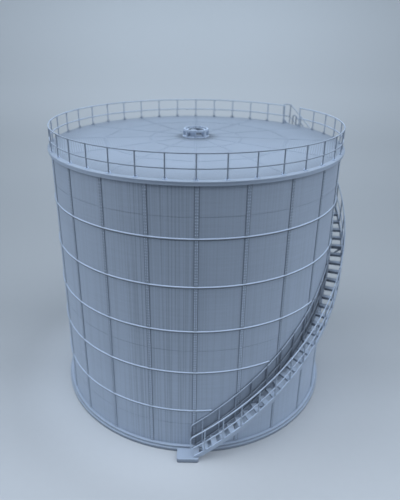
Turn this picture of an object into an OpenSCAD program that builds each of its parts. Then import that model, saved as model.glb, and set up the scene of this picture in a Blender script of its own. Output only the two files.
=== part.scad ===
// Riveted storage tank for a model railway: ringed shell, lift-off railed roof, wrap-around stair.
// Millimetres, +Z up. The origin is the centre of the tank at ground level.
// Every angle is measured around the tank from the front (-Y) towards +X.

/* [Shell] */
// Outer radius of the shell
shell_r = 70; // [64:0.5:76]
// Wall thickness of the shell
wall_t = 2; // [1.6:0.1:3]
// Height of one plate course
course_h = 21.14; // [19:0.02:24]
// Number of plate courses
courses = 6; // [5:1:7]
// Section radius of the half-round girth rings
girth_r = 0.5; // [0.4:0.05:0.7]
// Number of upright seams around the shell
seam_count = 22; // [16:1:28]
// Width of a seam strap
strap_w = 1.4; // [1:0.1:2.4]
// How far a seam strap stands proud of its plate
strap_t = 0.2; // [0.15:0.05:0.4]

/* [Base] */
// Height of the base ring
base_h = 2.1; // [1.6:0.1:3]
// How far the base ring stands out past the shell
base_lip = 2.1; // [1.5:0.1:3]
// Width of the landing pad at the foot of the stair
pad_w = 10; // [8:0.5:14]
// Depth of the landing pad, measured outwards from the base ring
pad_depth = 6.1; // [4:0.1:8]

/* [Roof] */
// Height of the roof's edge ring
rim_h = 1.96; // [1.6:0.02:2.6]
// How far the edge ring overhangs the shell
rim_lip = 1.4; // [1:0.1:1.6]
// Rise of the roof from its edge to its middle
roof_rise = 2; // [1:0.05:6]
// Number of flat roof panels
roof_sides = 12; // [8:1:16]
// Radial clearance of the spigot inside the shell
spigot_gap = 0.08; // [0.05:0.01:0.1]
// Depth of the spigot inside the shell
spigot_depth = 4; // [3:0.5:8]

/* [Railings] */
// Radius of every rail and post
rod_r = 0.3; // [0.25:0.01:0.35]
// Height of the roof railing
roof_rail_h = 10.1; // [8:0.1:12]
// Height of the stair railing above the treads
stair_rail_h = 11.8; // [9:0.1:13]
// Height of the mid rail as a share of the railing's height
mid_share = 0.435; // [0.35:0.005:0.6]
// Number of equal bays around the roof railing
roof_bays = 38; // [34:1:42]

/* [Stair] */
// Number of treads from the ground to the roof
tread_count = 44; // [40:2:48]
// Angle between one tread and the next
tread_turn = 3.083; // [2.9:0.001:3.2]
// Depth of a tread, front to back
tread_depth = 2.6; // [2:0.1:3.9]
// Distance from the shell to the middle of the outer stringer
stair_reach = 6.8; // [6:0.1:8]

/* [Vent] */
// Radius of the vent's flange
vent_r = 6.6; // [5:0.1:7]
// Height of the vent above its seat on the roof
vent_h = 3.95; // [3:0.05:5]

/* [Hidden] */
$fn = 96;

wall_top = base_h + courses * course_h;
deck_z = wall_top + rim_h;
base_r = shell_r + base_lip;
base_inner_r = shell_r - wall_t - 2;
foot_r = shell_r + 1.3;
foot_z = base_h + 0.55;
ledge_z = base_h - 0.4;
floor_t = base_h - 0.5;
rim_r = shell_r + rim_lip;
inner_r = shell_r - wall_t;
chamfer = 0.2;
through = 1;
first_seam = 0.5;
strap_gap = 0.02;
ring_gap = 0.01;
ring_drop = 0.48;
plate_line_w = 0.25;
plate_line_depth = 0.12;
plate_line_courses = [0.61, 2.51, courses - 0.6];
pad_left = -7.2;
pad_corner = 1;

tread_rise = wall_top / tread_count;
stair_start = -2.16;
outer_stringer_start = 0.8;
inner_stringer_start = 1.1;
rail_start = 0.5;
tread_ahead = 0.4;
inner_post_back = 0.45;
inner_rail_rise = 1.2;
stair_end = stair_start + tread_count * tread_turn;
landing_turn = 3.5;
ring_reserve = 1;
post_step = 2;
stringer_t = 0.6;
stringer_h = 2.1;
stringer_lip = 0.3;
tread_t = 1.2;
tread_let_in = 0.15;
rim_gap = 0.25;
ease_from = 10;
ease_to = 4;
inner_rail_end = 1.5;
post_sink = 1.2;
outer_rail_r = shell_r + stair_reach;
inner_rail_r = shell_r + strap_t + rod_r + 0.05;
inner_rail_h = stair_rail_h + inner_rail_rise;
bracket_step = 9;
bracket_t = 0.5;
bracket_bar = 0.6;
bracket_drop = 6.2;
bracket_sink = 0.3;
rod_sides = 8;
bend_r = 1.3;
bend_steps = 4;
knob_r = 0.42;

roof_rail_r = shell_r + 0.04;
rim_lip_t = 0.45;
rim_step = 0.35;
bay_turn = 360 / roof_bays;
first_post = 0.2;
open_bay = floor((stair_end - first_post) / bay_turn) - 1;
panel_turn = 360 / roof_sides;
deck_r = shell_r - 1;
deck_t = 1.5;
spigot_r = inner_r - spigot_gap;
under_r = spigot_r - 1.6;
deck_slope = atan(roof_rise / deck_r);
roof_strap_t = 0.22;
roof_strap_sink = 0.15;
inner_ring_r = 0.33 * shell_r;
outer_ring_r = 0.65 * shell_r;
vent_seat_z = deck_z + roof_rise * (1 - vent_r / deck_r) - 0.1;
vent_flange_t = 0.7;
vent_tail_r = 2.5;
vent_tail_gap = 0.05;
vent_drum_r = 0.7 * vent_r;
vent_wall = 0.7;
vent_bead = 0.45;
vent_ports = 4;
vent_port_w = 3;
vent_first_port = 20;
vent_hood_r = 0.92 * vent_r;
vent_hood_h = 1;
vent_ribs = 8;
vent_rib_t = 0.6;
vent_first_rib = -2;
foot_size = [1.7, 1.1, 0.35];

// Height of the stair's walking line at an angle.
function stair_z(angle) = (angle - stair_start) / tread_turn * tread_rise;

// Angle at which the stair's inner railing, with a margin, comes up to a height on the shell.
function meets_stair(z, margin) =
    stair_start + (z - inner_rail_h - margin) / tread_rise * tread_turn;

// Height of the girth ring over a course's lower joint, a little below the joint itself.
function ring_z(course) = base_h + course * course_h - ring_drop;

// Whether that ring passes an angle from 0 to 360, or leaves it to the stair.
function ring_passes(course, angle) =
    angle < meets_stair(ring_z(course), strap_w) || angle > stair_end + landing_turn - ring_reserve;

// Point on a cylinder of radius r, at an angle from the front and a height.
function around(r, angle, z) = [r * sin(angle), -r * cos(angle), z];

// Top of the flat roof panels, rho away from the middle, square to a panel's outer edge.
function panel_z(rho) = deck_z + roof_rise * (1 - rho / deck_r);

// Places its children on the cylinder of radius r, facing outwards (-Y).
module place(r, angle, z) {
    rotate([0, 0, angle]) translate([0, -r, z]) children();
}

// Turns a profile drawn in r and z through part of a circle, from one angle to another.
module sweep_arc(from, to) {
    rotate([0, 0, from - 90]) rotate_extrude(angle = to - from, $fn = 180) children();
}

// Same, through the part of the circle that the stair leaves free at a height.
module sweep_clear_of_stair(z, margin) {
    sweep_arc(stair_end + landing_turn - 360, meets_stair(z, margin)) translate([0, z]) children();
}

// ---- Base and shell ----

// Ring under the shell, with an upstand around the shell's foot.
module base_ring() {
    color("lightsteelblue")
    rotate_extrude($fn = 180)
    polygon([
        [base_inner_r, 0],
        [base_r, 0],
        [base_r, ledge_z - chamfer],
        [base_r - chamfer, ledge_z],
        [foot_r, ledge_z],
        [foot_r, foot_z - chamfer],
        [foot_r - chamfer, foot_z],
        [shell_r + strap_gap, foot_z],
        [shell_r + strap_gap, base_h],
        [base_inner_r, base_h]
    ]);
}

module floor_plate() {
    color("lightsteelblue") cylinder(r = base_inner_r, h = floor_t);
}

// Shallow scribed line around the shell, up to the stair.
module plate_line(z) {
    sweep_clear_of_stair(z, rod_r)
        translate([shell_r - plate_line_depth, 0]) square([plate_line_depth + through, plate_line_w]);
}

module shell() {
    color("lightsteelblue")
    difference() {
        translate([0, 0, base_h])
            cylinder(r = shell_r, h = courses * course_h);
        translate([0, 0, base_h - through])
            cylinder(r = inner_r, h = courses * course_h + 2 * through);
        for (count = plate_line_courses)
            plate_line(base_h + count * course_h);
    }
}

// Half-round rings around the shell. Each stops at the stair and starts again beyond its top.
module girth_rings() {
    color("lightsteelblue")
    for (course = [1 : courses - 1])
        sweep_clear_of_stair(ring_z(course), girth_r + knob_r + rod_r)
        translate([shell_r, 0])
        intersection() {
            circle(r = girth_r, $fn = 32);
            translate([ring_gap, -girth_r]) square([girth_r, 2 * girth_r]);
        }
}

// Gap between a strap's end and the height of a ring, which closes up where the ring is left out.
function strap_end_gap(course, angle) =
    ring_passes(course, angle) ? girth_r + strap_gap : strap_gap / 4;

// One strap of one course at an angle, between the girth rings above and below it.
module seam_strap(course, angle) {
    half_turn = strap_w / shell_r * 90 / PI;
    low = course == 0 ? foot_z + strap_gap : ring_z(course) + strap_end_gap(course, angle);
    high = course == courses - 1
        ? wall_top - strap_gap
        : ring_z(course + 1) - strap_end_gap(course + 1, angle);
    sweep_arc(angle - half_turn, angle + half_turn)
        translate([shell_r, low]) square([strap_t, high - low]);
}

module seam_straps() {
    color("lightsteelblue")
    for (seam = [0 : seam_count - 1], course = [0 : courses - 1])
        seam_strap(course, first_seam + seam * 360 / seam_count);
}

// Slab in front of the lowest tread, its outer corners rounded.
module landing_pad() {
    color("lightsteelblue")
    difference() {
        translate([pad_left, -base_r - pad_depth, 0])
        linear_extrude(base_h) {
            translate([0, pad_corner]) square([pad_w, pad_depth]);
            translate([pad_corner, 0]) square([pad_w - 2 * pad_corner, pad_depth]);
            for (x = [pad_corner, pad_w - pad_corner])
                translate([x, pad_corner]) circle(r = pad_corner, $fn = 32);
        }
        translate([0, 0, -through]) cylinder(r = base_r, h = base_h + 2 * through, $fn = 180);
    }
}

// ---- Stair ----

// Curved side plate of the stair, its lower edge cut off level at a height.
module stringer(r, first_angle, last_angle, cut_z) {
    steps = ceil((last_angle - first_angle) / tread_turn);
    angles = [for (i = [0 : steps]) first_angle + (last_angle - first_angle) * i / steps];
    points = [for (a = angles)
        let (high = stair_z(a) + stringer_lip, low = max(stair_z(a) - stringer_h, cut_z))
        each [
            around(r - stringer_t / 2, a, low),
            around(r + stringer_t / 2, a, low),
            around(r + stringer_t / 2, a, high),
            around(r - stringer_t / 2, a, high)
        ]];
    sides = [for (i = [0 : steps - 1], k = [0 : 3])
        let (p = 4 * i + k, q = 4 * i + (k + 1) % 4)
        each [[p, q, q + 4], [p, q + 4, p + 4]]];
    end = 4 * steps;
    ends = [[0, 2, 1], [0, 3, 2], [end, end + 1, end + 2], [end, end + 2, end + 3]];
    polyhedron(points, concat(sides, ends));
}

module outer_stringer() {
    first = stair_start + outer_stringer_start * tread_turn;
    color("lightsteelblue") stringer(outer_rail_r, first, stair_end + landing_turn, base_h);
}

module inner_stringer() {
    first = stair_start + inner_stringer_start * tread_turn;
    color("lightsteelblue") stringer(inner_rail_r, first, stair_end - tread_turn, foot_z + strap_gap);
}

// Flat step between the stringers, its top at height z and its underside clear of the base.
module step_plate(from, to, z) {
    inside = inner_rail_r + stringer_t / 2 - tread_let_in;
    outside = outer_rail_r - stringer_t / 2 + tread_let_in;
    low = max(z - tread_t, foot_z + strap_gap);
    sweep_arc(from, to)
        translate([inside, low]) square([outside - inside, z - low]);
}

module stair_treads() {
    half_turn = tread_depth / (shell_r + stair_reach / 2) * 90 / PI;
    color("lightsteelblue")
    for (n = [1 : tread_count - 1]) {
        a = stair_start + n * tread_turn + tread_ahead;
        step_plate(a - half_turn, a + half_turn, n * tread_rise);
    }
}

module stair_landing() {
    half_turn = tread_depth / (shell_r + stair_reach / 2) * 90 / PI;
    color("lightsteelblue")
        step_plate(stair_end - half_turn, stair_end + landing_turn, wall_top - strap_gap);
}

// Struts under the treads: a flat bar and a diagonal that carry the stair off the shell.
module stair_brackets() {
    reach = outer_rail_r - shell_r;
    color("lightsteelblue")
    for (n = [bracket_step : bracket_step : tread_count - 1])
        place(shell_r, stair_start + n * tread_turn, n * tread_rise - tread_t)
        rotate([90, 0, -90])
        translate([0, 0, -bracket_t / 2])
        linear_extrude(bracket_t)
        difference() {
            polygon([
                [-bracket_sink, 0],
                [reach, 0],
                [reach, -bracket_bar],
                [-bracket_sink, -bracket_drop]
            ]);
            polygon([
                [bracket_bar, -bracket_bar],
                [reach - 2.4 * bracket_bar, -bracket_bar],
                [bracket_bar, bracket_bar * 1.6 - bracket_drop]
            ]);
        }
}

// Radius of the inner handrail: it eases outwards near the roof to pass the rim.
function inner_rail_radius(angle) =
    let (steps_left = (stair_end - angle) / tread_turn,
         share = min(max((ease_from - steps_left) / (ease_from - ease_to), 0), 1))
    inner_rail_r + share * (rim_r + rod_r + rim_gap - inner_rail_r);

// Upright post of height h at an angle of the stair, with a ball where it meets the rail.
module stair_post(r, angle, h) {
    place(r, angle, stair_z(angle)) {
        translate([0, 0, -post_sink]) cylinder(r = rod_r, h = h + post_sink, $fn = 24);
        translate([0, 0, h]) sphere(r = knob_r, $fn = 24);
    }
}

module outer_stair_posts() {
    color("lightsteelblue")
    for (n = [post_step : post_step : tread_count])
        stair_post(outer_rail_r, stair_start + n * tread_turn, stair_rail_h);
}

module inner_stair_posts() {
    color("lightsteelblue")
    for (n = [post_step : post_step : tread_count - post_step]) {
        a = stair_start + n * tread_turn - inner_post_back;
        stair_post(inner_rail_radius(a), a, inner_rail_h);
    }
}

// Points of a rounded corner at c between the directions of a and b, in angle and height.
function corner_bend(a, c, b, r) =
    let (turn = bend_r / r * 180 / PI,
         reach = function (p) let (d = p - c, l = norm([d.x / turn, d.y / bend_r])) c + d / max(l, 1),
         from = reach(a), to = reach(b))
    [for (i = [0 : bend_steps]) let (t = i / bend_steps)
        (1 - t) * (1 - t) * from + 2 * t * (1 - t) * c + t * t * to];

// Points along a straight run between two corners, in angle and height, ends left out.
function straight_run(a, b) =
    let (steps = max(1, ceil(abs(b.x - a.x) / tread_turn)))
    [for (i = [1 : 1 : steps - 1]) a + (b - a) * i / steps];

// Closed rod through a list of points on the cylinder, each [angle, height, radius].
module bent_rod(path) {
    count = len(path);
    at = [for (p = path) around(p.z, p.x, p.y)];
    points = [for (i = [0 : count - 1])
        let (t = at[(i + 1) % count] - at[(i + count - 1) % count],
             out = [sin(path[i].x), -cos(path[i].x), 0],
             side = cross(t, out) / norm(cross(t, out)))
        for (k = [0 : rod_sides - 1])
            at[i] + rod_r * (cos(k * 360 / rod_sides) * out + sin(k * 360 / rod_sides) * side)];
    faces = [for (i = [0 : count - 1], k = [0 : rod_sides - 1])
        let (here = i * rod_sides,
             there = (i + 1) % count * rod_sides,
             after = (k + 1) % rod_sides)
        each [[here + k, here + after, there + after], [here + k, there + after, there + k]]];
    polyhedron(points, faces);
}

// Top rail and mid rail of the stair as one closed loop with rounded ends, top above the treads.
function rail_loop(first, knee, last, r, top) =
    let (mid = top * mid_share,
         corners = [
            [first, stair_z(first) + top], [knee, stair_z(knee) + top], [last, stair_z(knee) + top],
            [last, stair_z(knee) + mid], [knee, stair_z(knee) + mid], [first, stair_z(first) + mid]
         ],
         bend = function (i) corner_bend(corners[(i + 5) % 6], corners[i], corners[(i + 1) % 6], r))
    [for (i = [0 : 5])
        let (here = bend(i), next = bend((i + 1) % 6))
        each concat(here, straight_run(here[bend_steps], next[0]))];

module outer_handrail() {
    first = stair_start + rail_start * tread_turn;
    loop = rail_loop(first, stair_end, stair_end + landing_turn, outer_rail_r, stair_rail_h);
    color("lightsteelblue") bent_rod([for (p = loop) [p.x, p.y, outer_rail_r]]);
}

module inner_handrail() {
    knee = stair_end - post_step * tread_turn;
    first = stair_start + rail_start * tread_turn;
    loop = rail_loop(first, knee, knee + inner_rail_end, inner_rail_r, inner_rail_h);
    color("lightsteelblue") bent_rod([for (p = loop) [p.x, p.y, inner_rail_radius(p.x)]]);
}

// ---- Roof ----

// Ring around the roof with a thin lip along its top edge.
module roof_rim() {
    color("lightsteelblue")
    translate([0, 0, wall_top])
    rotate_extrude($fn = 180)
    polygon([
        [deck_r, 0],
        [rim_r - rim_step - chamfer, 0],
        [rim_r - rim_step, chamfer],
        [rim_r - rim_step, rim_h - rim_lip_t],
        [rim_r, rim_h - rim_lip_t],
        [rim_r, rim_h - chamfer],
        [rim_r - chamfer, rim_h],
        [deck_r, rim_h]
    ]);
}

module roof_spigot() {
    color("lightsteelblue")
    translate([0, 0, wall_top - spigot_depth])
    difference() {
        cylinder(r = spigot_r, h = spigot_depth, $fn = 180);
        translate([0, 0, -through]) cylinder(r = under_r, h = spigot_depth + 2 * through, $fn = 180);
    }
}

// Shallow pyramid with its corners on the seam lines, as high at radius r as the roof less a drop.
module roof_pyramid(r, drop) {
    corner_r = r / cos(panel_turn / 2);
    translate([0, 0, panel_z(r) - drop])
    rotate([0, 0, -90])
    cylinder(r1 = corner_r, r2 = 0, h = roof_rise * r / deck_r, $fn = roof_sides);
}

// Flat panels on a round plate, hollow underneath, with a seat and a hole for the vent.
module roof_deck() {
    hollow_h = panel_z(under_r) - deck_t - wall_top;
    color("lightsteelblue")
    difference() {
        intersection() {
            union() {
                translate([0, 0, wall_top]) cylinder(r = rim_r, h = rim_h);
                roof_pyramid(deck_r, 0);
            }
            translate([0, 0, wall_top]) cylinder(r = deck_r, h = rim_h + roof_rise, $fn = 180);
        }
        roof_pyramid(under_r, deck_t);
        translate([0, 0, wall_top - through])
            cylinder(r = under_r * cos(panel_turn / 2), h = hollow_h + through);
        translate([0, 0, vent_seat_z]) cylinder(r = vent_r, h = roof_rise);
        translate([0, 0, wall_top]) cylinder(r = vent_tail_r + vent_tail_gap, h = rim_h + roof_rise);
    }
}

// Straps down the ridges between the panels, from the vent to the rim.
module roof_radial_seams() {
    ridge_slope = atan(tan(deck_slope) * cos(panel_turn / 2));
    start = vent_r + 0.3;
    reach = deck_r - start - 0.1;
    color("lightsteelblue")
    for (i = [0 : roof_sides - 1])
        place(start, i * panel_turn, panel_z(start * cos(panel_turn / 2)) - roof_strap_sink)
        rotate([ridge_slope, 0, 0])
        translate([-strap_w / 2, -reach, 0])
        cube([strap_w, reach, roof_strap_t]);
}

// Twelve-sided strap lying on the panels, with its corners at radius r.
module ring_seam(r) {
    middle = r * cos(panel_turn / 2);
    side = 2 * r * sin(panel_turn / 2);
    for (i = [0 : roof_sides - 1])
        place(middle, (i + 0.5) * panel_turn, panel_z(middle) - roof_strap_sink)
        rotate([deck_slope, 0, 0])
        translate([-side / 2, -strap_w / 2, 0])
        cube([side, strap_w, roof_strap_t]);
}

module roof_ring_seams() {
    color("lightsteelblue") {
        ring_seam(inner_ring_r);
        ring_seam(outer_ring_r);
    }
}

module roof_posts() {
    color("lightsteelblue")
    for (i = [0 : roof_bays - 1])
        place(roof_rail_r, first_post + i * bay_turn, deck_z) {
            cylinder(r = rod_r, h = roof_rail_h, $fn = 24);
            translate([0, 0, roof_rail_h]) sphere(r = knob_r, $fn = 24);
        }
}

module roof_post_feet() {
    color("lightsteelblue")
    for (i = [0 : roof_bays - 1])
        place(roof_rail_r, first_post + i * bay_turn, deck_z)
        translate([-foot_size.x / 2, -foot_size.y / 2, 0])
        cube(foot_size);
}

// Rod around the roof at a height above the deck, leaving one bay open for the stair.
module roof_rail(height) {
    gate_from = first_post + open_bay * bay_turn;
    sweep_arc(gate_from + bay_turn, gate_from + 360)
        translate([roof_rail_r, deck_z + height]) circle(r = rod_r, $fn = 24);
}

module roof_top_rail() {
    color("lightsteelblue") roof_rail(roof_rail_h);
}

module roof_mid_rail() {
    color("lightsteelblue") roof_rail(roof_rail_h * mid_share);
}

// ---- Vent ----

// Round flange on the roof with a tail that plugs into the deck.
module vent_flange() {
    color("lightsteelblue")
    translate([0, 0, vent_seat_z]) {
        cylinder(r = vent_r, h = vent_flange_t - chamfer);
        cylinder(r = vent_r - 2 * chamfer, h = vent_flange_t);
        translate([0, 0, -deck_t]) cylinder(r = vent_tail_r, h = deck_t + vent_flange_t);
    }
}

// Open drum with ports in its wall and a bead around its foot.
module vent_drum() {
    drum_h = vent_h - vent_flange_t - vent_hood_h / 2;
    port_h = vent_h - vent_flange_t - vent_hood_h - vent_bead;
    color("lightsteelblue")
    translate([0, 0, vent_seat_z + vent_flange_t])
    difference() {
        union() {
            cylinder(r = vent_drum_r, h = drum_h);
            cylinder(r = vent_drum_r + vent_bead, h = vent_bead);
        }
        translate([0, 0, -through]) cylinder(r = vent_drum_r - vent_wall, h = drum_h + 2 * through);
        for (i = [0 : vent_ports - 1])
            rotate([0, 0, vent_first_port + i * 360 / vent_ports])
            translate([-vent_port_w / 2, -vent_r, vent_bead])
            cube([vent_port_w, vent_r - through, port_h]);
    }
}

// Open ring around the top of the drum, on ribs that stand on the flange.
module vent_hood() {
    rib_from = vent_drum_r + vent_bead + 0.05;
    rib_to = vent_hood_r + chamfer;
    color("lightsteelblue")
    translate([0, 0, vent_seat_z]) {
        translate([0, 0, vent_h - vent_hood_h])
        difference() {
            union() {
                cylinder(r = vent_hood_r, h = vent_hood_h - chamfer);
                cylinder(r = vent_hood_r - chamfer, h = vent_hood_h);
            }
            translate([0, 0, -through]) cylinder(r = vent_hood_r - vent_wall, h = vent_hood_h + 2 * through);
        }
        for (i = [0 : vent_ribs - 1])
            place(rib_to, vent_first_rib + i * 360 / vent_ribs, vent_flange_t)
            translate([-vent_rib_t / 2, 0, 0])
            cube([vent_rib_t, rib_to - rib_from, vent_h - vent_flange_t - chamfer]);
    }
}

base_ring();
floor_plate();
shell();
girth_rings();
seam_straps();
landing_pad();
outer_stringer();
inner_stringer();
stair_treads();
stair_landing();
stair_brackets();
outer_stair_posts();
inner_stair_posts();
outer_handrail();
inner_handrail();
roof_rim();
roof_spigot();
roof_deck();
roof_radial_seams();
roof_ring_seams();
roof_posts();
roof_post_feet();
roof_top_rail();
roof_mid_rail();
vent_flange();
vent_drum();
vent_hood();
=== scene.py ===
"""Looks of a riveted model storage tank, printed in bluish grey resin, on a pale studio sweep.

Everything is in metres in the frame of the CAD part: +Z up, the front towards -Y, the origin
on the ground under the middle of the tank. Angles are in degrees, from the front towards +X.
"""

import math

import bpy
from mathutils import Matrix, Vector


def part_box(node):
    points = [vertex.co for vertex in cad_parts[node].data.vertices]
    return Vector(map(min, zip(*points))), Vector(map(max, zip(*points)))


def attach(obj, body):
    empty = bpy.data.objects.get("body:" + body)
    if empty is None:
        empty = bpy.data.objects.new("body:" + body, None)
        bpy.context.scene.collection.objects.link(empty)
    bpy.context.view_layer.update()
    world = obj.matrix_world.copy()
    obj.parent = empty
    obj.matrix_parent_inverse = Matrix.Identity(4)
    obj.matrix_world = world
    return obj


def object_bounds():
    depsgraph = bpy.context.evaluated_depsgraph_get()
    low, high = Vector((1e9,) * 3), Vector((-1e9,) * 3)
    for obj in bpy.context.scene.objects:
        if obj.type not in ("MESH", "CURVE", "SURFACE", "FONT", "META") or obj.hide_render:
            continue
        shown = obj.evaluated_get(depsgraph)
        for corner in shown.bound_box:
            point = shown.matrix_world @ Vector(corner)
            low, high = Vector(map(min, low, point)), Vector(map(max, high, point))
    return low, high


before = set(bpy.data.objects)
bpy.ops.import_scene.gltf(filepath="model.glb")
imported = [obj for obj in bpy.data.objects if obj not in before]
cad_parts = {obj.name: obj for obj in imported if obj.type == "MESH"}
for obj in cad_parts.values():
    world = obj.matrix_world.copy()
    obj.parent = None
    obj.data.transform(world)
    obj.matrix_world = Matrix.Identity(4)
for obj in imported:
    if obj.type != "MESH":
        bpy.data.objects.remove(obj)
cad_low, cad_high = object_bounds()

MM = 0.001
UP = Vector((0, 0, 1))

# The tank's layout, as the CAD part has it. The roof's rings are shares of the shell's radius.
SHELL_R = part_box("shell")[1].x
SHELL_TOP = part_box("shell")[1].z
SEAM_COUNT = 22
FIRST_SEAM = 0.5
COURSES = 6
STAIR_START = -2.16
TREAD_TURN = 3.083
TREAD_COUNT = 44
STAIR_END = STAIR_START + TREAD_COUNT * TREAD_TURN
RAIL_TOP = 13.0 * MM
PANELS = 12
ROOF_RINGS = (0.33, 0.65)
ROOF_BAYS = 38
FIRST_POST = 0.2
POST_KNOB = 0.42 * MM
VENT_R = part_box("vent_flange")[1].x
DRUM_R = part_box("vent_drum")[1].x

# Rivets. The dome's rings are shares of the rivet's radius and height. Rows of rivets stop
# short of the ends of their straps. Rays find their seats, and a roof rivet's seat has to be
# level enough: that is its normal's Z.
RIVET_RADIUS = 0.27 * MM
RIVET_HEIGHT = 0.24 * MM
RIVET_SINK = 0.12 * MM
RIVET_DOME = [(1.0, 0.25), (0.72, 0.78), (0.3, 1.0)]
RIVET_SIDES = 8
RIVET_PITCH = 1.2 * MM
RIVET_ROW = 0.38 * MM
COURSE_END = 0.7 * MM
ROOF_SEAM_END = 1.0 * MM
VENT_GAP = 0.9 * MM
ROOF_RIVET_SCALE = 0.6
RAY_START = 1.2 * SHELL_R
LEVEL_ENOUGH = 0.9

# Webs at the feet of the roof's posts.
GUSSET_START = 0.2 * MM
GUSSET_REACH = 0.85 * MM
GUSSET_EDGE = 0.12 * MM
GUSSET_HEIGHT = 0.95 * MM
GUSSET_THICKNESS = 0.3 * MM
GUSSET_SINK = 0.05 * MM

# Resin. Clouds, speckle and bands each have a scale, and the share by which they vary the
# shade in all. A zone is where a shade eases in, from its start to its end.
RESIN_COLOUR = (0.375, 0.45, 0.565)
RESIN_SHINE = 0.4
CLOUD_SCALE = 45.0
CLOUDS = 0.10
SPECKLE_SCALE = 1400.0
SPECKLE = 0.08
BAND_SCALE = (60.0, 60.0, 1500.0)
BANDS = 0.14
# Painted shade darkens the resin where surfaces meet, out to this reach from a corner.
CREVICE_SHADE_REACH = 0.7 * MM
CREVICE_SHADE_ZONE = (0.25, 0.95)
CREVICE_SHADE_SAMPLES = 6
# A painted highlight on what faces up eases in over the first zone below, and a painted shade on what
# faces down over the second.
TOP_HIGHLIGHT_ZONE = (0.3, 0.85)
UNDERSIDE_SHADE_ZONE = (-0.35, 0.35)
UNDERSIDE_SHADE = 0.85
RESIN_ROUGHNESS = 0.36
ROUGH_SPECKLE = 0.18
BUMP = 0.35
BUMP_DEPTH = 0.03 * MM
BUMP_SPECKLE = 0.35
BUMP_BANDS = 0.5

# Print layers on surfaces that are almost level, and streaks down the shell.
LAYER = 0.03 * MM
LAYER_SHIFT = 0.37
LAYER_EDGE = (0.28, 0.5)
LEVEL_ZONE = (0.97, 0.995)
LINE_DEPTH = 0.16
STREAKS = 1400.0
STREAK_BREAKS = 9.0
STREAK_EDGE = (0.42, 0.66)
STREAK_MIDDLE = -12.0
STREAK_ZONE = (8.0, 22.0)
WEAKEST_STREAK = 0.35

# Places that several shades share: the shell's slants between the axes, in millimetres around
# it from the nearest axis, the way from the front to the back, and the left and right sides.
SLANT_ZONE = (24.0, 36.0)
BACK_ZONE = (-0.7 * SHELL_R, 0.5 * SHELL_R)
SIDE_ZONE = (0.8 * SHELL_R, SHELL_R)

# Painted shades of the shell, its straps, its rings and its base, as shares of the resin's colour.
SEAM_SHADOW = 0.4
SEAM_SHADOW_ZONE = (0.75, 1.35)
SEAM_SHADOW_ASLANT = 0.25
STRAP_ASLANT_SHADE = 0.86
RIM_SHADOW = 0.84
RIM_SHADOW_ZONE = (SHELL_TOP - 1.9 * MM, SHELL_TOP - 0.5 * MM)
WALL_ZONE = (SHELL_R - 1.5 * MM, SHELL_R - 0.5 * MM)
RING_SIDE_SHADE = 0.72
BASE_FOOT_SHADE = 0.62
BASE_SHADE_ZONE = (0.0, 1.9 * MM)

# Painted shades behind the stair and on it, by height above its walking line or by angle.
BEHIND_TREADS = 0.56
BEHIND_RAIL = 0.76
BEHIND_ZONE = (1.0 * MM, RAIL_TOP)
OVER_RAIL_ZONE = (RAIL_TOP - 0.3 * MM, RAIL_TOP + 0.5 * MM)
UNDER_TREADS_ZONE = (-7.0 * MM, -4.5 * MM)
STAIR_FOOT_ZONE = (STAIR_START + 1.2, STAIR_START + 1.7)
STAIR_END_ZONE = (STAIR_END, STAIR_END + 4.0)
STAIR_AROUND_SHADE = 0.7
STAIR_AROUND_ZONE = (45.0, 75.0)
TREAD_ROOT_SHADE = 0.6
TREAD_ROOT_ZONE = (SHELL_R + 1.0 * MM, SHELL_R + 5.0 * MM)
INNER_MID_RAIL_SHADE = 0.62
INNER_RAIL_ZONE = (0.6 * RAIL_TOP, 0.85 * RAIL_TOP)
INNER_POST_SHADE = 0.55
INNER_POST_ZONE = (8.0, 28.0)

# Painted light and shade of the roof, its vent, its rim and its railing.
ROOF_EDGE_SHADE = 0.86
ROOF_EDGE_ZONE = (0.72 * SHELL_R, 0.98 * SHELL_R)
ROOF_FRONT_LIGHT = 1.04
ROOF_BACK_SHADE = 0.85
VENT_SHADOW = 0.58
VENT_SHADOW_ZONE = (VENT_R, 1.9 * VENT_R)
VENT_INSIDE_SHADE = 0.3
VENT_INSIDE_ZONE = (0.74 * DRUM_R, 0.82 * DRUM_R)
RIM_BACK_SHADE = 0.6
RIM_SIDE_SHADE = 0.84
RAIL_BACK_LIGHT = 1.3
POST_FOOT_BACK_SHADE = 0.5
POST_FOOT_SIDE_SHADE = 0.75

# Paper. Its tones are a painted falloff of light that runs along the floor and up the wall, over the span.
# Bounce is how strongly the paper lights the tank, and the painted light near the tank how much brighter
# than its tones the camera sees it.
PAPER_COLOUR = (0.565, 0.60, 0.64)
PAPER_ROUGHNESS = 0.9
PAPER_SHINE = 0.1
GRAIN_SCALE = 260.0
PAPER_GRAIN = 0.03
FLOOR_SPAN = (-0.1, 0.9)
FLOOR_PAINTED_FALLOFF = [
    (0.0, 0.95), (0.05, 0.90), (0.10, 0.78), (0.16, 0.68),
    (0.30, 0.65), (0.55, 0.72), (0.72, 0.86), (0.90, 0.98),
]
ASIDE_PAINTED_FALLOFF = 0.78
ASIDE_ZONE = (0.05, 0.45)
FRONT_BOUNCE = 0.08
FRONT_ZONE = (-0.21, -0.13)
NEAR_BOUNCE = 1.12
NEAR_BOUNCE_ZONE = (0.08, 0.15)
NEAR_PAINTED_LIGHT = 0.22
NEAR_PAINTED_LIGHT_ZONE = (0.075, 0.105)
RIGHT_PAINTED_LIGHT = 0.25
RIGHT_ZONE = (-0.02, 0.04)

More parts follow.
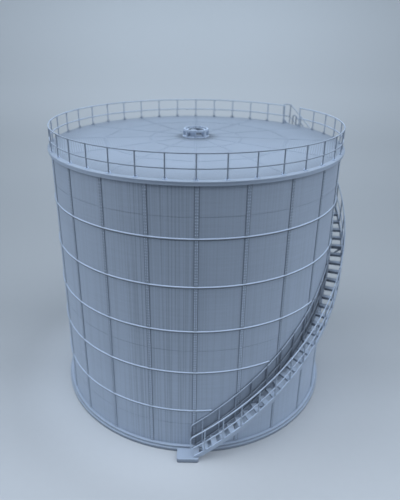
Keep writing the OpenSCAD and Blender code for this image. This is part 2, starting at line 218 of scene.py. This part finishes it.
# Light. The zones are directions: how far to a side, and how far up and to the front.
SIDE_LIGHT = 1.75
SIDE_LIGHT_ZONE = (0.5, 1.0)
TOP_LIGHT = 1.5
TOP_LIGHT_ZONE = (0.55, 1.0)
TOP_LIGHT_LEAN = -0.1
FILL_LIGHT = 0.095
SKY_TINT = (0.92, 1.0, 1.1, 1.0)
FAR_WALL = 0.5
ROOF_LAMP = 0.18
BACKDROP_LAMP = 1.3
BACKDROP_TINT = (0.72, 0.88, 1.0)

# Camera, in metres, degrees and, for its sensor and its lens, millimetres.
CAMERA_AT = (0, -0.24098, 0.18250)
CAMERA_PITCH = 22.973
CAMERA_YAW = -0.542
CAMERA_ROLL = 0.401
SENSOR_WIDTH = 36
LENS = 34.99
SHIFT = (0.0187, -0.0337)
FOCUS = (0, -0.06, 0.1)
F_STOP = 14


# ---- Shader nodes ----

def shader_node(tree, kind, settings=None, **inputs):
    """A new node of a kind, with its settings and its inputs, which are values or sockets."""
    made = tree.nodes.new(kind)
    for name, value in (settings or {}).items():
        setattr(made, name, value)
    for name, value in inputs.items():
        fill(tree, made.inputs[name.replace("_", " ")], value)
    return made


def fill(tree, socket, value):
    """Links a socket to another, or gives it a value."""
    if isinstance(value, bpy.types.NodeSocket):
        tree.links.new(value, socket)
    else:
        socket.default_value = value


def maths(tree, operation, *values):
    """Output of a math node that works on up to three values or sockets."""
    made = shader_node(tree, "ShaderNodeMath", {"operation": operation})
    for place, value in enumerate(values):
        fill(tree, made.inputs[place], value)
    return made.outputs[0]


def product(tree, *values):
    """Product of two or more values or sockets."""
    total = values[0]
    for value in values[1:]:
        total = maths(tree, "MULTIPLY", total, value)
    return total


def remap(tree, value, low, high, to_low=0.0, to_high=1.0, kind="SMOOTHSTEP"):
    """A value eased from one range to another, held at both ends."""
    made = shader_node(
        tree, "ShaderNodeMapRange", {"interpolation_type": kind},
        Value=value, From_Min=low, From_Max=high, To_Min=to_low, To_Max=to_high,
    )
    return made.outputs["Result"]


def mix(tree, share, first, second):
    """A blend of two numbers: the first at a share of 0, the second at 1."""
    made = shader_node(tree, "ShaderNodeMix", Factor=share, A=first, B=second)
    return made.outputs["Result"]


def split(tree, vector):
    """The X, Y and Z of a vector."""
    return shader_node(tree, "ShaderNodeSeparateXYZ", Vector=vector).outputs


def tinted(tree, colour, shade):
    """A colour scaled by a shade."""
    made = shader_node(tree, "ShaderNodeVectorMath", {"operation": "SCALE"}, Vector=colour, Scale=shade)
    return made.outputs["Vector"]


def camera_ray(tree):
    """1 where the camera looks at a surface, 0 where the surface only lights another."""
    return shader_node(tree, "ShaderNodeLightPath").outputs["Is Camera Ray"]


def noise(tree, place, scale, detail=3.0, roughness=0.5):
    """Grey noise at a place, with features about 1 / scale metres across."""
    made = shader_node(
        tree, "ShaderNodeTexNoise", Vector=place, Scale=scale, Detail=detail, Roughness=roughness,
    )
    return made.outputs["Fac"]


def stretched(tree, place, scale):
    """The place with its three coordinates scaled."""
    return shader_node(tree, "ShaderNodeMapping", Vector=place, Scale=scale).outputs["Vector"]


def node_material(name):
    """A new material with its node tree and its surface shader."""
    material = bpy.data.materials.new(name)
    material.use_nodes = True
    tree = material.node_tree
    return material, tree, tree.nodes["Principled BSDF"]


# ---- Places on the tank ----

def turned(tree, at):
    """Angle around the tank in turns, from the front towards +X."""
    angle = maths(tree, "ARCTAN2", at["X"], maths(tree, "MULTIPLY", at["Y"], -1.0))
    return maths(tree, "MULTIPLY", angle, 0.5 / math.pi)


def outward(tree, at):
    """Distance from the tank's axis."""
    flat = shader_node(tree, "ShaderNodeCombineXYZ", X=at["X"], Y=at["Y"])
    length = shader_node(
        tree, "ShaderNodeVectorMath", {"operation": "LENGTH"}, Vector=flat.outputs["Vector"],
    )
    return length.outputs["Value"]


def from_nearest(tree, turns, count, first):
    """Distance around the shell to the nearest of a number of even marks, in millimetres."""
    phase = maths(tree, "FRACT", maths(tree, "MULTIPLY_ADD", turns, count, 0.5 - first * count / 360))
    aside = maths(tree, "ABSOLUTE", maths(tree, "SUBTRACT", phase, 0.5))
    return maths(tree, "MULTIPLY", aside, 2 * math.pi * SHELL_R / MM / count)


def aslant(tree, turns, facing, away):
    """A value where the shell faces an axis, eased to another where it stands at a slant to both."""
    return remap(tree, from_nearest(tree, turns, 4, 0.0), *SLANT_ZONE, facing, away)


def front_to_back(tree, at, front, back):
    """A value that eases from one number at the front of the tank to another at its back."""
    return remap(tree, at["Y"], *BACK_ZONE, front, back)


def side_fade(tree, at, level):
    """A value that falls from 1 to a level where the tank turns away at its left and right."""
    return remap(tree, maths(tree, "ABSOLUTE", at["X"]), *SIDE_ZONE, 1.0, level)


def above_stair(tree, at):
    """Height above the stair's walking line at a point's angle, and that angle in degrees."""
    degrees = maths(tree, "MULTIPLY", turned(tree, at), 360.0)
    steps = maths(tree, "DIVIDE", maths(tree, "SUBTRACT", degrees, STAIR_START), TREAD_TURN)
    rise = SHELL_TOP / TREAD_COUNT
    return maths(tree, "MULTIPLY_ADD", steps, -rise, at["Z"]), degrees


# ---- Lines and shades of each material ----

def layer_lines(tree, at, upwards):
    """Lines where a surface that is almost level crosses from one print layer to the next."""
    phase = maths(tree, "FRACT", maths(tree, "MULTIPLY_ADD", at["Z"], 1 / LAYER, LAYER_SHIFT))
    edge = remap(tree, maths(tree, "ABSOLUTE", maths(tree, "SUBTRACT", phase, 0.5)), *LAYER_EDGE)
    level = remap(tree, maths(tree, "ABSOLUTE", upwards), *LEVEL_ZONE)
    return product(tree, edge, level)


def column_lines(tree, at):
    """Upright streaks of a printed cylinder, strongest near its front, back and sides."""
    turns = turned(tree, at)
    fine = shader_node(
        tree, "ShaderNodeCombineXYZ",
        X=maths(tree, "MULTIPLY", turns, 2 * math.pi * SHELL_R * STREAKS),
        Y=maths(tree, "MULTIPLY", at["Z"], STREAK_BREAKS),
    )
    streak = remap(tree, noise(tree, fine.outputs["Vector"], 1.0, detail=1.0), *STREAK_EDGE)
    aside = from_nearest(tree, turns, 4, STREAK_MIDDLE)
    return product(tree, streak, remap(tree, aside, *STREAK_ZONE, 1.0, WEAKEST_STREAK))


def stair_shade(tree, at):
    """Shade on the shell behind the stair, from under the treads up to its inner railing."""
    above, degrees = above_stair(tree, at)
    deep = remap(tree, above, *BEHIND_ZONE, BEHIND_TREADS, BEHIND_RAIL)
    over_rail = remap(tree, above, *OVER_RAIL_ZONE)
    under_treads = remap(tree, above, *UNDER_TREADS_ZONE, 1.0, 0.0)
    past_foot = remap(tree, degrees, *STAIR_FOOT_ZONE)
    before_end = remap(tree, degrees, *STAIR_END_ZONE, 1.0, 0.0)
    clear = maths(tree, "MAXIMUM", over_rail, under_treads)
    beside = maths(tree, "SUBTRACT", 1.0, product(tree, past_foot, before_end))
    return mix(tree, maths(tree, "MAXIMUM", clear, beside), deep, 1.0)


def shell_painted_shade(tree, at, seam_shadow=SEAM_SHADOW):
    """Painted shade of the shell: painted shadow lines beside the straps, and painted shadow under the rim
    and behind the stair.

    The shell's inside stays plain.
    """
    turns = turned(tree, at)
    aside = from_nearest(tree, turns, SEAM_COUNT, FIRST_SEAM)
    # Painted shadow lines on the shell beside each strap.
    beside = remap(tree, aside, *SEAM_SHADOW_ZONE, 1.0, 0.0)
    line = product(tree, beside, aslant(tree, turns, seam_shadow, SEAM_SHADOW_ASLANT * seam_shadow))
    under_rim = remap(tree, at["Z"], *RIM_SHADOW_ZONE, 1.0, RIM_SHADOW)
    shade = product(tree, maths(tree, "SUBTRACT", 1.0, line), under_rim, stair_shade(tree, at))
    outside = remap(tree, outward(tree, at), *WALL_ZONE)
    return mix(tree, outside, 1.0, shade)


def strap_painted_shade(tree, at):
    """The straps get the shell's painted shade, with no painted shadow lines beside them, and painted
    shade at a slant.
    """
    return product(tree, shell_painted_shade(tree, at, 0.0), aslant(tree, turned(tree, at), 1.0, STRAP_ASLANT_SHADE))


def stair_painted_shade(tree, at):
    """Painted shade: the stair's metalwork darkens where it climbs around the side."""
    degrees = above_stair(tree, at)[1]
    return remap(tree, degrees, *STAIR_AROUND_ZONE, 1.0, STAIR_AROUND_SHADE)


def tread_painted_shade(tree, at):
    """Painted shade: the treads are also darker near the shell."""
    near_shell = remap(tree, outward(tree, at), *TREAD_ROOT_ZONE, TREAD_ROOT_SHADE, 1.0)
    return product(tree, stair_painted_shade(tree, at), near_shell)


def inner_rail_painted_shade(tree, at):
    """Painted shade: the inner railing's mid rail is darker than its top rail."""
    above = above_stair(tree, at)[0]
    level = remap(tree, above, *INNER_RAIL_ZONE, INNER_MID_RAIL_SHADE, 1.0)
    return product(tree, stair_painted_shade(tree, at), level)


def inner_post_painted_shade(tree, at):
    """Painted shade: the inner posts are lit at the foot of the stair only, and darker further up."""
    degrees = above_stair(tree, at)[1]
    return remap(tree, degrees, *INNER_POST_ZONE, 1.0, INNER_POST_SHADE)


def roof_painted_light(tree, at):
    """Painted shade: the roof darkens a little towards its edge and its back, with a painted shadow around
    the vent and a little painted light at the front.
    """
    radius = outward(tree, at)
    edge = remap(tree, radius, *ROOF_EDGE_ZONE, 1.0, ROOF_EDGE_SHADE)
    vent = remap(tree, radius, *VENT_SHADOW_ZONE, VENT_SHADOW, 1.0)
    return product(tree, edge, vent, front_to_back(tree, at, ROOF_FRONT_LIGHT, ROOF_BACK_SHADE))


def rim_painted_shade(tree, at):
    """Painted shade: the rim is brightest at the front, darker at the back and sides."""
    return product(tree, front_to_back(tree, at, 1.0, RIM_BACK_SHADE), side_fade(tree, at, RIM_SIDE_SHADE))


def ring_painted_shade(tree, at):
    """Painted shade: the girth rings, with their painted highlight, darken at the sides."""
    return side_fade(tree, at, RING_SIDE_SHADE)


def roof_rail_painted_light(tree, at):
    """Painted light: the roof's railing is paler at the back."""
    return front_to_back(tree, at, 1.0, RAIL_BACK_LIGHT)


def foot_plate_painted_light(tree, at):
    """Painted light: the feet of the roof's posts are brightest at the front, in painted shade at the back
    and sides.
    """
    return product(tree, front_to_back(tree, at, 1.0, POST_FOOT_BACK_SHADE), side_fade(tree, at, POST_FOOT_SIDE_SHADE))


def vent_painted_shade(tree, at):
    """Painted shade: the vent is dark inside its drum."""
    return remap(tree, outward(tree, at), *VENT_INSIDE_ZONE, VENT_INSIDE_SHADE, 1.0)


def base_painted_shade(tree, at):
    """Painted shade: the base darkens towards the ground."""
    return remap(tree, at["Z"], *BASE_SHADE_ZONE, BASE_FOOT_SHADE, 1.0)


def resin(
    name, tone=1.0, crevice_shade=0.4, painted_top_light=0.0, marks=None, streaked=False,
    reach=CREVICE_SHADE_REACH, line_depth=LINE_DEPTH,
):
    """Bluish grey printing resin: print layers, mottling, and painted shade where surfaces meet.

    painted_top_light paints a highlight on what faces up and a shade on what faces down. marks
    paints light and shade at each place, and streaked adds the streaks of a printed cylinder.
    crevice_shade is how dark the painted shade where surfaces meet is, reach how far from a
    corner it goes, and line_depth how dark the print layers and streaks are.
    """
    material, tree, surface = node_material(name)
    coordinates = shader_node(tree, "ShaderNodeTexCoord").outputs
    place = coordinates["Object"]
    at = split(tree, place)
    upwards = split(tree, coordinates["Normal"])["Z"]

    lines = layer_lines(tree, at, upwards)
    if streaked:
        lines = maths(tree, "MAXIMUM", lines, column_lines(tree, at))
    cloud = noise(tree, place, CLOUD_SCALE)
    speckle = noise(tree, place, SPECKLE_SCALE, detail=4.0, roughness=0.6)
    bands = noise(tree, stretched(tree, place, BAND_SCALE), 1.0, detail=2.0)
    shade = maths(tree, "MULTIPLY_ADD", cloud, CLOUDS, tone - CLOUDS / 2)
    shade = maths(tree, "ADD", shade, maths(tree, "MULTIPLY_ADD", speckle, SPECKLE, -SPECKLE / 2))
    shade = maths(tree, "ADD", shade, maths(tree, "MULTIPLY_ADD", bands, BANDS, -BANDS / 2))
    # marks paints light and shade into the colour at each place.
    if marks:
        shade = product(tree, shade, marks(tree, at))
    shade = product(tree, shade, maths(tree, "MULTIPLY_ADD", lines, -line_depth, 1.0))
    # Painted highlight on what faces up and painted shade on what faces down.
    if painted_top_light:
        lit = remap(tree, upwards, *TOP_HIGHLIGHT_ZONE, 1.0, 1.0 + painted_top_light)
        dim = remap(tree, upwards, *UNDERSIDE_SHADE_ZONE, 1.0 - UNDERSIDE_SHADE * painted_top_light, 1.0)
        shade = product(tree, shade, product(tree, lit, dim))
    # Painted shade where surfaces meet, from ambient occlusion.
    open_sky = shader_node(tree, "ShaderNodeAmbientOcclusion", {"samples": CREVICE_SHADE_SAMPLES}, Distance=reach)
    shade = product(tree, shade, remap(tree, open_sky.outputs["AO"], *CREVICE_SHADE_ZONE, 1.0 - crevice_shade, 1.0))

    roughness = maths(tree, "MULTIPLY_ADD", speckle, ROUGH_SPECKLE, RESIN_ROUGHNESS)
    height = maths(tree, "MULTIPLY_ADD", lines, -1.0, product(tree, speckle, BUMP_SPECKLE))
    height = maths(tree, "MULTIPLY_ADD", bands, BUMP_BANDS, height)
    bump = shader_node(tree, "ShaderNodeBump", Strength=BUMP, Distance=BUMP_DEPTH, Height=height)
    fill(tree, surface.inputs["Base Color"], tinted(tree, RESIN_COLOUR, shade))
    fill(tree, surface.inputs["Roughness"], roughness)
    fill(tree, surface.inputs["Specular IOR Level"], RESIN_SHINE)
    fill(tree, surface.inputs["Normal"], bump.outputs["Normal"])
    return material


# ---- Meshes ----

def around(radius, angle, height):
    """Point on a cylinder around the tank's axis, at an angle in degrees from the front."""
    turn = math.radians(angle)
    return Vector((radius * math.sin(turn), -radius * math.cos(turn), height))


def hit(node, start, direction):
    """Where a ray first meets a CAD node, with the surface's normal there, or None."""
    found, point, normal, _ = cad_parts[node].ray_cast(start, direction)
    return (point, normal) if found else None


def new_object(name, points, faces, material, smooth):
    """A mesh object in the scene."""
    mesh = bpy.data.meshes.new(name)
    mesh.from_pydata([tuple(p) for p in points], [], faces)
    mesh.validate()
    mesh.polygons.foreach_set("use_smooth", [smooth] * len(mesh.polygons))
    mesh.materials.append(material)
    made = bpy.data.objects.new(name, mesh)
    bpy.context.scene.collection.objects.link(made)
    return made


def new_piece(name, points, faces, body, material, smooth=True):
    """A mesh object that rides on a CAD body."""
    piece = new_object(name, points, faces, material, smooth)
    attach(piece, body)


def rivet_rings():
    """Radius and height of each ring of points of a rivet head, from its sunk foot up."""
    dome = [(radius * RIVET_RADIUS, height * RIVET_HEIGHT) for radius, height in RIVET_DOME]
    return [(RIVET_RADIUS, -RIVET_SINK)] + dome


def add_rivet(points, faces, seat, normal, scale=1.0):
    """Adds one closed rivet head on a seat to lists of points and faces."""
    turn = normal.to_track_quat("Z", "Y").to_matrix()
    first = len(points)
    rings = rivet_rings()
    for radius, height in rings:
        for side in range(RIVET_SIDES):
            angle = 2 * math.pi * side / RIVET_SIDES
            rim_point = Vector((radius * math.cos(angle), radius * math.sin(angle), height))
            points.append(seat + turn @ (scale * rim_point))
    for ring in range(len(rings) - 1):
        low = first + ring * RIVET_SIDES
        for side in range(RIVET_SIDES):
            after = (side + 1) % RIVET_SIDES
            faces.append((low + side, low + after, low + RIVET_SIDES + after, low + RIVET_SIDES + side))
    last = first + (len(rings) - 1) * RIVET_SIDES
    faces.append(tuple(range(last, last + RIVET_SIDES)))
    faces.append(tuple(reversed(range(first, first + RIVET_SIDES))))


def spaced(low, high, pitch):
    """Even places from low to high, about a pitch apart, with half a pitch free at both ends."""
    count = max(1, round((high - low) / pitch))
    return [low + (high - low) * (i + 0.5) / count for i in range(count)]


def shell_rivets(material):
    """Two rows of rivets down every seam strap of the shell."""
    points, faces = [], []
    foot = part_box("shell")[0].z
    course = (SHELL_TOP - foot) / COURSES
    row_turn = math.degrees(RIVET_ROW / SHELL_R)
    for seam in range(SEAM_COUNT):
        for row in (-row_turn, row_turn):
            angle = FIRST_SEAM + seam * 360 / SEAM_COUNT + row
            out = around(1, angle, 0)
            for count in range(COURSES):
                low = foot + count * course + COURSE_END
                for height in spaced(low, low + course - 2 * COURSE_END, RIVET_PITCH):
                    seat = hit("seam_straps", around(RAY_START, angle, height), -out)
                    if seat:
                        add_rivet(points, faces, seat[0], out)
    new_piece("shell_rivets", points, faces, "tank", material)


def panel_axes(panel):
    """Directions along and across a roof panel, counted around from the front."""
    along = around(1, panel * 360 / PANELS, 0)
    return along, Vector((-along.y, along.x, 0))


def roof_rivets(material):
    """Two rows of rivets along every strap of the roof."""
    points, faces = [], []
    roof_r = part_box("roof_deck")[1].x

    def drop(node, place):
        """Adds a rivet where a line down through a place meets the strap's top face."""
        seat = hit(node, Vector((place.x, place.y, cad_high.z)), -UP)
        if seat and seat[1].z > LEVEL_ENOUGH:
            add_rivet(points, faces, seat[0], seat[1], ROOF_RIVET_SCALE)

    for panel in range(PANELS):
        along, across = panel_axes(panel)
        for radius in spaced(VENT_R + VENT_GAP, roof_r - ROOF_SEAM_END, RIVET_PITCH):
            for row in (-RIVET_ROW, RIVET_ROW):
                drop("roof_radial_seams", along * radius + across * row)
    for share in ROOF_RINGS:
        corner_r = share * SHELL_R
        middle = corner_r * math.cos(math.pi / PANELS)
        half = corner_r * math.sin(math.pi / PANELS)
        for panel in range(PANELS):
            along, across = panel_axes(panel + 0.5)
            for row in (-RIVET_ROW, RIVET_ROW):
                for step in spaced(-half + ROOF_SEAM_END, half - ROOF_SEAM_END, RIVET_PITCH):
                    drop("roof_ring_seams", along * (middle + row) + across * step)
    new_piece("roof_rivets", points, faces, "roof", material)


def add_prism(points, faces, outline, thickness, seat, along, up):
    """Adds a flat closed plate: an outline in the plane of along and up, centred on a seat."""
    across = along.cross(up).normalized()
    count = len(outline)
    first = len(points)
    for side in (-0.5, 0.5):
        for x, z in outline:
            points.append(seat + along * x + up * z + across * (side * thickness))
    faces.append(tuple(first + i for i in range(count)))
    faces.append(tuple(first + count + i for i in reversed(range(count))))
    for i in range(count):
        after = (i + 1) % count
        faces.append((first + after, first + i, first + count + i, first + count + after))


def post_gussets(material):
    """A small web on each side of every roof post's foot."""
    points, faces = [], []
    foot_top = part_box("roof_post_feet")[1].z
    posts_low, posts_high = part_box("roof_posts")
    post_r = (posts_high - posts_low).x / 2 - POST_KNOB
    outline = [
        (GUSSET_START, 0), (GUSSET_REACH, 0), (GUSSET_REACH, GUSSET_EDGE), (GUSSET_START, GUSSET_HEIGHT),
    ]
    for post in range(ROOF_BAYS):
        angle = FIRST_POST + post * 360 / ROOF_BAYS
        seat = around(post_r, angle, foot_top - GUSSET_SINK)
        turn = math.radians(angle)
        along = Vector((math.cos(turn), math.sin(turn), 0))
        for side in (-1, 1):
            add_prism(points, faces, outline, GUSSET_THICKNESS, seat, along * side, UP)
    new_piece("post_gussets", points, faces, "roof", material, smooth=False)


# ---- Studio ----

def ramp(tree, value, stops):
    """A smooth ramp through stops, each a place from 0 to 1 and a grey level, as a number."""
    made = shader_node(tree, "ShaderNodeValToRGB", Fac=value)
    made.color_ramp.interpolation = "EASE"
    marks = made.color_ramp.elements
    while len(marks) < len(stops):
        marks.new(0.5)
    for mark, (place, level) in zip(marks, stops):
        mark.position = place
        mark.color = (level, level, level, 1)
    return maths(tree, "MULTIPLY", made.outputs["Color"], 1.0)


def paper():
    """Pale matt paper with painted light: its tone falls off towards the back and the sides of the sweep,
    and a painted pool of light brightens it near the tank.

    The part behind the camera lights the tank less than it looks, as it does in a small room.
    """
    material, tree, surface = node_material("pale_paper")
    place = shader_node(tree, "ShaderNodeTexCoord").outputs["Object"]
    at = split(tree, place)
    along = remap(tree, maths(tree, "ADD", at["Y"], at["Z"]), *FLOOR_SPAN, kind="LINEAR")
    aside = remap(tree, maths(tree, "ABSOLUTE", at["X"]), *ASIDE_ZONE, 1.0, ASIDE_PAINTED_FALLOFF)
    grain = noise(tree, place, GRAIN_SCALE, detail=4.0)
    grainy = maths(tree, "MULTIPLY_ADD", grain, PAPER_GRAIN, 1 - PAPER_GRAIN / 2)

    away = outward(tree, at)
    front = remap(tree, at["Y"], *FRONT_ZONE, FRONT_BOUNCE, 1.0)
    bounce = product(tree, front, remap(tree, away, *NEAR_BOUNCE_ZONE, NEAR_BOUNCE, 1.0))
    # Painted pool of light on the paper near the tank, stronger on the left, seen by the camera only.
    close = remap(tree, away, *NEAR_PAINTED_LIGHT_ZONE, NEAR_PAINTED_LIGHT, 0.0)
    left = remap(tree, at["X"], *RIGHT_ZONE, 1.0, RIGHT_PAINTED_LIGHT)
    painted_light_pool = maths(tree, "MULTIPLY_ADD", close, left, 1.0)
    strength = mix(tree, camera_ray(tree), bounce, painted_light_pool)

    shade = product(tree, ramp(tree, along, FLOOR_PAINTED_FALLOFF), aside, grainy, strength)
    fill(tree, surface.inputs["Base Color"], tinted(tree, PAPER_COLOUR, shade))
    fill(tree, surface.inputs["Roughness"], PAPER_ROUGHNESS)
    fill(tree, surface.inputs["Specular IOR Level"], PAPER_SHINE)
    return material


def sweep_floor():
    """A plain pale floor that curves up into a backdrop behind the tank."""
    half_width = 2.5
    front = -1.5
    bend_at = 0.30
    bend_r = 0.30
    bend_steps = 18
    wall_top = 2.0
    profile = [(front, 0.0), (bend_at, 0.0)]
    for step in range(1, bend_steps + 1):
        bend = math.radians(90 * step / bend_steps)
        profile.append((bend_at + bend_r * math.sin(bend), bend_r * (1 - math.cos(bend))))
    profile.append((bend_at + bend_r, wall_top))
    points = [(side * half_width, y, z) for y, z in profile for side in (-1, 1)]
    faces = [(2 * i, 2 * i + 1, 2 * i + 3, 2 * i + 2) for i in range(len(profile) - 1)]
    new_object("floor", points, faces, paper(), smooth=True)


def softbox(name, at, towards, size, power, colour=(1.0, 1.0, 1.0)):
    """A rectangular lamp that neither the camera nor a reflection sees."""
    data = bpy.data.lights.new(name, "AREA")
    data.shape = "RECTANGLE"
    data.size, data.size_y = size
    data.energy = power
    data.color = colour
    lamp = bpy.data.objects.new(name, data)
    bpy.context.scene.collection.objects.link(lamp)
    lamp.location = at
    lamp.rotation_mode = "QUATERNION"
    lamp.rotation_quaternion = (Vector(towards) - Vector(at)).to_track_quat("-Z", "Y")
    lamp.visible_camera = False
    lamp.visible_glossy = False


def studio_light():
    """Soft light from above and from both sides, weak from the camera's side.

    The camera sees a plain wall where the sweep ends.
    """
    world = bpy.data.worlds.new("studio")
    bpy.context.scene.world = world
    world.use_nodes = True
    tree = world.node_tree
    way = split(tree, shader_node(tree, "ShaderNodeTexCoord").outputs["Generated"])
    sides = remap(tree, maths(tree, "ABSOLUTE", way["X"]), *SIDE_LIGHT_ZONE, 0.0, SIDE_LIGHT)
    high = maths(tree, "MULTIPLY_ADD", way["Y"], TOP_LIGHT_LEAN, way["Z"])
    above = remap(tree, high, *TOP_LIGHT_ZONE, 0.0, TOP_LIGHT)
    strength = maths(tree, "ADD", maths(tree, "ADD", sides, above), FILL_LIGHT)
    background = tree.nodes["Background"]
    fill(tree, background.inputs["Strength"], mix(tree, camera_ray(tree), strength, FAR_WALL))
    fill(tree, background.inputs["Color"], SKY_TINT)
    softbox(
        "roof_softbox", at=(0, -0.05, 0.42), towards=(0, -0.05, 0),
        size=(0.5, 0.08), power=ROOF_LAMP,
    )
    softbox(
        "backdrop_softbox", at=(0, 0.15, 0.55), towards=(0, 0.6, 0.15),
        size=(1.0, 0.1), power=BACKDROP_LAMP, colour=BACKDROP_TINT,
    )


def camera():
    """Camera at the height and tilt of someone looking down at the tank on a table."""
    pitch, yaw, roll = (math.radians(a) for a in (CAMERA_PITCH, CAMERA_YAW, CAMERA_ROLL))
    forward = Vector((math.sin(yaw) * math.cos(pitch), math.cos(yaw) * math.cos(pitch), -math.sin(pitch)))
    level = Vector((math.cos(yaw), -math.sin(yaw), 0))
    upright = level.cross(forward)
    right = level * math.cos(roll) + upright * math.sin(roll)
    up = upright * math.cos(roll) - level * math.sin(roll)
    data = bpy.data.cameras.new("camera")
    data.sensor_width = SENSOR_WIDTH
    data.lens = LENS
    data.shift_x, data.shift_y = SHIFT
    data.clip_start = 0.01
    data.clip_end = 20
    made = bpy.data.objects.new("camera", data)
    bpy.context.scene.collection.objects.link(made)
    turn = Matrix((right, up, -forward)).transposed().to_4x4()
    made.matrix_world = Matrix.Translation(CAMERA_AT) @ turn
    focus = bpy.data.objects.new("focus_point", None)
    bpy.context.scene.collection.objects.link(focus)
    focus.location = FOCUS
    data.dof.use_dof = True
    data.dof.focus_object = focus
    data.dof.aperture_fstop = F_STOP
    bpy.context.scene.camera = made


# ---- Assembly ----

# Every material is the one resin: a tone above 1 is painted light, a tone below 1 painted shade, and the
# other settings add painted highlights on what faces up and painted shade where surfaces meet.
SHELL = resin("resin_shell", crevice_shade=0.15, marks=shell_painted_shade, streaked=True, line_depth=0.2)
STRAP = resin("resin_straps", tone=0.95, crevice_shade=0.3, marks=strap_painted_shade, streaked=True)
RIVET = resin("resin_rivets", tone=1.22, crevice_shade=0.25, painted_top_light=0.25, marks=strap_painted_shade, streaked=True)
RINGS = resin("resin_rings", tone=0.92, painted_top_light=0.85, marks=ring_painted_shade)
BASE = resin("resin_base", tone=0.9, painted_top_light=0.35, marks=base_painted_shade)
RIM = resin("resin_rim", tone=1.12, crevice_shade=0.05, marks=rim_painted_shade)
ROOF = resin("resin_roof", crevice_shade=0.05, marks=roof_painted_light, line_depth=0.35)
VENT = resin("resin_vent", tone=1.3, painted_top_light=0.35, marks=vent_painted_shade, reach=1.0 * MM)
FEET = resin("resin_feet", tone=1.5, crevice_shade=0.1, painted_top_light=0.2, marks=foot_plate_painted_light)
ROOF_RAILS = resin("resin_roof_rails", tone=0.82, crevice_shade=0.3, painted_top_light=0.3, marks=roof_rail_painted_light)
METALWORK = resin("resin_stair", tone=1.18, crevice_shade=0.5, painted_top_light=0.4, marks=stair_painted_shade)
TREADS = resin("resin_treads", crevice_shade=0.6, painted_top_light=0.4, marks=tread_painted_shade)
INNER_RAIL = resin("resin_inner_rail", crevice_shade=0.5, painted_top_light=0.3, marks=inner_rail_painted_shade)
INNER_POSTS = resin("resin_inner_posts", painted_top_light=0.2, marks=inner_post_painted_shade)
# A darker copy of the resin: painted shade on the stair's inner stringer and brackets.
STAIR_PAINTED_SHADE = resin("resin_stair_painted_shade", tone=0.62, crevice_shade=0.3, painted_top_light=0.2)

NODE_MATERIALS = {
    SHELL: ("shell",),
    STRAP: ("seam_straps",),
    RINGS: ("girth_rings",),
    BASE: ("base_ring", "floor_plate", "landing_pad"),
    RIM: ("roof_rim",),
    ROOF: ("roof_deck", "roof_spigot", "roof_radial_seams", "roof_ring_seams"),
    VENT: ("vent_flange", "vent_drum", "vent_hood"),
    FEET: ("roof_post_feet",),
    ROOF_RAILS: ("roof_posts", "roof_top_rail", "roof_mid_rail"),
    METALWORK: ("outer_stringer", "outer_stair_posts", "outer_handrail"),
    TREADS: ("stair_treads", "stair_landing"),
    INNER_RAIL: ("inner_handrail",),
    INNER_POSTS: ("inner_stair_posts",),
    STAIR_PAINTED_SHADE: ("inner_stringer", "stair_brackets"),
}
for material, names in NODE_MATERIALS.items():
    for name in names:
        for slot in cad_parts[name].material_slots:
            slot.material = material

shell_rivets(RIVET)
roof_rivets(ROOF)
post_gussets(FEET)

sweep_floor()
studio_light()
camera()
bpy.context.scene.view_settings.view_transform = "Standard"
